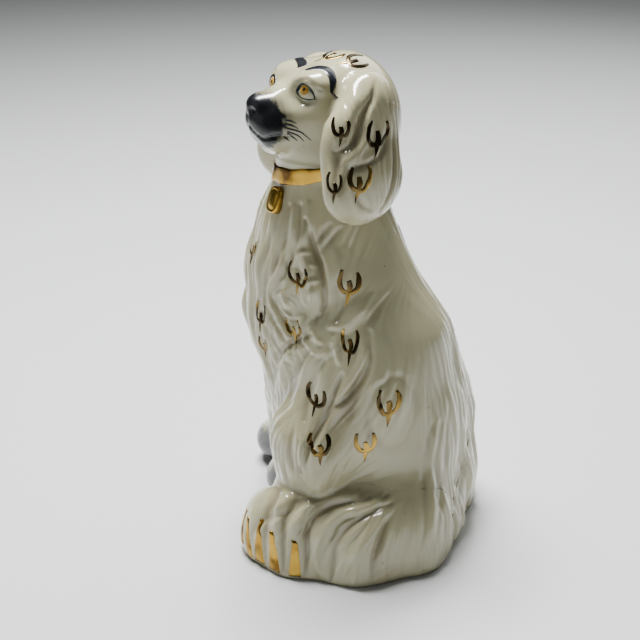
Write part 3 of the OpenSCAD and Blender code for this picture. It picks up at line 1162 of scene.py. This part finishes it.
def trident(brush, plane, x, y, width, height, tilt=0.0, mirror=None):
    """One brushed mark: a cup, a short middle prong and a tapering stem. (x, y) is the cup's foot, where
    the strokes meet; width is the cup's and height that of the whole mark."""
    c, s = math.cos(math.radians(tilt)), math.sin(math.radians(tilt))
    for path, widths in TRIDENT:
        jitter = brush_rng.normal(0, 0.018, (len(path), 2))
        jitter[-1] = 0
        pts = []
        for px, py in np.asarray(path)+jitter:
            dx, dy = px*width, py*height
            hit = lifted(plane, x+dx*c-dy*s, y+dx*s+dy*c)
            if hit is not None:
                pts.append(mirror(hit) if mirror else hit)
        if len(pts) > 2:
            brush.stroke(pts, [w*width*brush_rng.uniform(0.9, 1.15) for w in widths])


near = seen_from(0)
body_gold = Brush("gilding_body", THIN_GOLD, "collar")
for x, y, width, height, tilt in (
        (-8, 110.5, 6, 12, 0), (10.3, 108.5, 7, 13.5, -2), (-9.1, 89.5, 4.8, 11, 12),
        (10.8, 88.5, 5.6, 13.5, 0), (-1.8, 67, 6.4, 11, -6), (25.3, 66, 7.4, 15, 2),
        (0.3, 51, 7.2, 12, 8), (17, 50.5, 7.2, 13.5, 4)):
    trident(body_gold, near, x, y, width, height, tilt)
for x, y, width, height, tilt in (
        (13, 112, 7, 12.5, 3), (0, 108, 6.4, 12, -4), (8, 88, 6, 13, 2), (-7, 90, 5, 11, -6),
        (1, 68, 6.4, 12, 4), (27, 68, 7.4, 14, -3), (3, 50, 7.2, 12, 5), (20, 49, 7.2, 13, 0)):
    trident(body_gold, near, x, y, width, height, tilt, across_trunk)
for s, z, azimuth, width, height in (
        (-25.5, 114, 60, 6, 10), (-22.6, 90, 45, 5.5, 12), (-21, 78, 45, 4.6, 9)):
    plane = seen_from(azimuth)
    hit = lifted(near, s, z)
    trident(body_gold, plane, hit@plane[0], hit@plane[1], width, height, 3)
chest = seen_from(100)
for x, y, width, height, tilt in (
        (-14, 116, 6.6, 12, 0), (-20, 97, 6.4, 12, 4), (-12, 80, 6.2, 11, -4)):
    trident(body_gold, chest, x, y, width, height, tilt)
back = seen_from(-90)
for x, y, width, height, tilt in (
        (8, 118, 6.6, 12, 3), (18, 99, 7, 12.5, -4), (7, 81, 7, 13, 2), (21, 52, 7.4, 13, 0)):
    trident(body_gold, back, x, y, width, height, tilt)
body_gold.done()

for node, mirror in (("left_ear", None), ("right_ear", across_head)):
    ear_gold = Brush("gilding_"+node, THIN_GOLD, "collar")
    for x, y, width, height, tilt in ((7, 167.5, 5.4, 9, 2), (19.2, 163.5, 6.6, 12.5, -4),
                                      (4.9, 149.5, 4.6, 10.5, 0), (12.9, 150, 7, 12.5, -4)):
        trident(ear_gold, near, x, y, width, height, tilt, mirror)
    ear_gold.done()

crown = seen_from(0, 50)
head_gold = Brush("gilding_head", THIN_GOLD, "collar")
for x, t, z, tilt in ((2, 3, 187, -60), (10, -2.5, 187, -62)):
    trident(head_gold, crown, np.dot((x, t, z), crown[0]), np.dot((x, t, z), crown[1]), 6.4, 11, tilt)
head_gold.done()

claws = Brush("gilded_claws", GOLD, "left_hind_foot", 0.28)
for path, widths in (
        ([(-26.5, -27, 18.5), (-30, -29, 12), (-32, -31, 5)], (0.4, 1.1, 1.0)),
        ([(-26, -30, 17.5), (-28.2, -34, 7), (-29, -35.5, 1.5)], (0.7, 1.8, 2.1)),
        ([(-21.6, -34, 20), (-23.8, -38, 9), (-24.4, -39, 1.5)], (0.8, 2.1, 2.6)),
        ([(-17.6, -39, 18), (-18.2, -43, 8), (-18.2, -43.6, 1.5)], (1.1, 2.2, 2.7)),
        ([(-9.3, -43, 17), (-9.6, -46, 8), (-9.7, -46.5, 1.5)], (1.0, 2.0, 2.5))):
    for mirrored in (False, True):
        pts = np.array(path, float)
        if mirrored:
            pts = across_body(pts.astype(np.float32)).astype(float)
        claws.stroke(pts, widths)
claws.done()


# ---- Eyes, brows and whiskers ----

face = Brush("face_enamel", BLACK, "head_shell", 0.16)
amber = Brush("irises", AMBER, "head_shell", 0.1)
pupils = Brush("pupils", BROWN, "head_shell", 0.16)
BROW = [(17.8, 6.6, 186.5), (15.8, 7.6, 187), (13.2, 8.6, 187), (11.3, 10.4, 186.4), (10.7, 13.3, 185),
        (11.1, 16.4, 182.3), (12.6, 19.4, 179)]
# The left side, then the right as the photo shows it: the eye's centre, the drawing's rightward
# direction, the iris's half width, the brow's path and the brow's half widths, all in the head's axes
EYES = (
    (1, (19.3, 10.5, 179), (-0.766, 0.643, 0), 1.75, BROW, (0.6, 1.7, 2.3, 2.2, 1.9, 1.4, 0.4)),
    (-1, (22.8, -7.2, 178.2), (-0.34, -0.94, 0), 1.45,
     [(15.9, 0.3, 185.4), (14.5, 2.8, 186.2)]+BROW[2:], (1.7, 1.9, 1.7, 1.4, 1.2, 0.9, 0.35)),
)
WHISKERS = (
    ((26.7, 10.0, 169.8), (24.8, 11.0, 169.4), (22.9, 11.8, 168.5)),
    ((26.5, 10.4, 168.5), (24.4, 11.3, 167.8), (22.4, 12.2, 166.6)),
    ((26.6, 10.6, 167.2), (22.8, 12.9, 165.6), (18.8, 14.7, 162.8)),
    ((26.0, 10.8, 165.8), (23.4, 12.3, 164.4), (20.9, 12.9, 162.2)),
    ((26.0, 10.8, 165.0), (24.3, 11.8, 163.6), (22.8, 12.0, 162.0)),
    ((27.0, 10.5, 164.0), (26.0, 10.6, 163.2), (25.0, 10.5, 162.2)),
)
EYE_UP = np.array([0, 0, 1.0])
for side, eye_centre, rightward, iris, brow, brow_widths in EYES:
    eye_at, eye_right = on_head(*eye_centre), from_head(*rightward)

    def eye(*points):
        """Points (x, y) of the eye's drawing, in the display frame."""
        return [eye_at+eye_right*x+EYE_UP*y for x, y in points]

    face.stroke(eye((-3.3, -0.2), (-2.4, 0.9), (-1.2, 2.0), (0.3, 2.6), (1.7, 2.3), (2.7, 0.6),
                    (4.4, -2.3)), (0.9, 0.75, 0.58, 0.56, 0.55, 0.5, 0.22))
    face.stroke(eye((-3.3, 0.2), (-3.0, -0.8), (-1.8, -1.9), (-0.4, -2.3), (1.6, -2.5), (5.2, -2.6)),
                (0.9, 0.9, 0.5, 0.34, 0.32, 0.12))
    amber.disc(eye((0.15, 0.3))[0], eye_right, EYE_UP, iris, 1.85)
    pupils.disc(eye((0.15, 0.35))[0], eye_right, EYE_UP, 0.72, 0.78)
    face.stroke([on_head(f, l*side, z) for f, l, z in brow], brow_widths)
    for whisker in WHISKERS:
        face.stroke([on_head(f, l*side, z) for f, l, z in whisker], (0.32, 0.34, 0.12))
face.done()
amber.done()
pupils.done()


# ---- Collar and locket ----

def collar_piece():
    """A raised band round the neck, its gilded edges a little uneven."""
    profile = [(-1, -0.9), (-1, 0.1), (-0.93, 0.5), (-0.8, 0.65), (-0.3, 0.75), (0.3, 0.75),
               (0.8, 0.65), (0.93, 0.5), (1, 0.1), (1, -0.9)]
    steps = 120
    verts, faces = [], []
    for i in range(steps):
        a = 2*math.pi*i/steps
        out = from_head(math.cos(a), math.sin(a), 0)
        axis = on_head(*NECK_AXIS, 0)
        half = 2.9+0.2*math.sin(3*a+1)+0.12*math.sin(11*a)
        middle = (COLLAR_Z-COLLAR_SLOPE*NECK_RADII[0]*math.cos(a)
                  + COLLAR_LEAN*NECK_RADII[1]*math.sin(a))
        for v, rise in profile:
            z = middle+v*half
            hit = TRUNK.ray_cast(Vector(axis+out*60+(0, 0, z)), Vector(-out))[0]
            verts.append(np.array(hit)+out*rise)
    n = len(profile)
    for i in range(steps):
        j = (i+1) % steps
        for k in range(n):
            m = (k+1) % n
            faces.append((i*n+k, j*n+k, j*n+m, i*n+m))
    return make_mesh("collar_band", verts, faces)


def locket_piece():
    """An oval drop with a rim, hanging from the front of the collar."""
    half_width, half_height, squareness = 3.4, 4.9, 3.2
    hit, normal, _, _ = TRUNK.find_nearest(Vector(on_head(27, 1.1, 138.5)))
    up = (Vector((0, 0, 1))-normal*normal.z).normalized()
    right = up.cross(normal)
    steps = 48
    rings = [(0.35, 2.25), (0.6, 2.1), (0.72, 1.75), (0.8, 1.75), (0.88, 2.1), (0.96, 1.8),
             (1.0, 1.1), (1.0, -0.8)]
    verts, faces = [hit+normal*2.3], []
    for r, rise in rings:
        for k in range(steps):
            a = 2*math.pi*k/steps
            x, y = math.cos(a), math.sin(a)
            out = r*(abs(x)**squareness+abs(y)**squareness)**(-1/squareness)
            verts.append(hit+right*(half_width*out*x)+up*(half_height*out*y)+normal*rise)
    verts.append(hit-normal*0.8)
    for k in range(steps):
        j = (k+1) % steps
        faces.append((0, 1+k, 1+j))
        for r in range(len(rings)-1):
            a, b = 1+r*steps, 1+(r+1)*steps
            faces.append((a+k, b+k, b+j, a+j))
        faces.append((1+(len(rings)-1)*steps+k, len(verts)-1, 1+(len(rings)-1)*steps+j))
    return make_mesh("locket_drop", verts, faces)


finish_piece(collar_piece(), "collar_band", GOLD, "collar")
finish_piece(locket_piece(), "locket_drop", GOLD, "locket")
slab = make_mesh("slab", *surface_net(slab_field, (-30, -50, -1), (75, 60, 6), 1.0))
finish_piece(slab, "base_slab", BISCUIT, "base_plate", smooth=False)
trunk = PIECES.pop("trunk")
finish_piece(bisected(trunk, "torso", False), "torso_cast", GLAZE, "torso_shell")
finish_piece(bisected(trunk, "head", True), "head_cast", GLAZE, "head_shell")
for name, mesh in PIECES.items():
    finish_piece(mesh, name+"_cast", GLAZE, name)


# ---- Floor, light and camera ----

floor_mat, _, _, floor_shader = material("pale_floor")
floor_shader.inputs["Base Color"].default_value = (0.66, 0.67, 0.67, 1)
floor_shader.inputs["Roughness"].default_value = 0.55
bpy.ops.mesh.primitive_plane_add(size=6, location=(0, 0, 0))
floor = bpy.context.object
floor.name = "floor"
floor.data.materials.append(floor_mat)

world = bpy.data.worlds.new("soft")
bpy.context.scene.world = world
world.use_nodes = True
background = world.node_tree.nodes["Background"]
background.inputs["Color"].default_value = (0.66, 0.68, 0.68, 1)
background.inputs["Strength"].default_value = 0.11


def area_light(name, at, size, power):
    """A soft rectangular light, aimed at the figure's middle."""
    data = bpy.data.lights.new(name, "AREA")
    data.shape = "RECTANGLE"
    data.size, data.size_y = size
    data.energy = power
    obj = bpy.data.objects.new(name, data)
    obj.location = to_object(at)
    aim = Vector(to_object((0, 0, 90)))-obj.location
    obj.rotation_euler = aim.to_track_quat("-Z", "Y").to_euler()
    bpy.context.scene.collection.objects.link(obj)


area_light("ceiling", (-100, 200, 880), (0.45, 0.18), 25)
area_light("window", (-900, -420, 520), (0.8, 0.8), 0.6)
area_light("back", (500, 700, 700), (0.8, 0.6), 4)

CAMERA_DISTANCE = 370.0
CAMERA_HEIGHT = 262.0
CAMERA_PITCH = 25.2
CAMERA_LENS = 59.7
camera_data = bpy.data.cameras.new("camera")
camera_data.sensor_width = 36
camera_data.lens = CAMERA_LENS
camera = bpy.data.objects.new("camera", camera_data)
camera.location = to_object((0, -CAMERA_DISTANCE, CAMERA_HEIGHT))
camera.rotation_euler = (math.radians(90-CAMERA_PITCH), 0, DISPLAY_TURN)
bpy.context.scene.collection.objects.link(camera)
bpy.context.scene.camera = camera
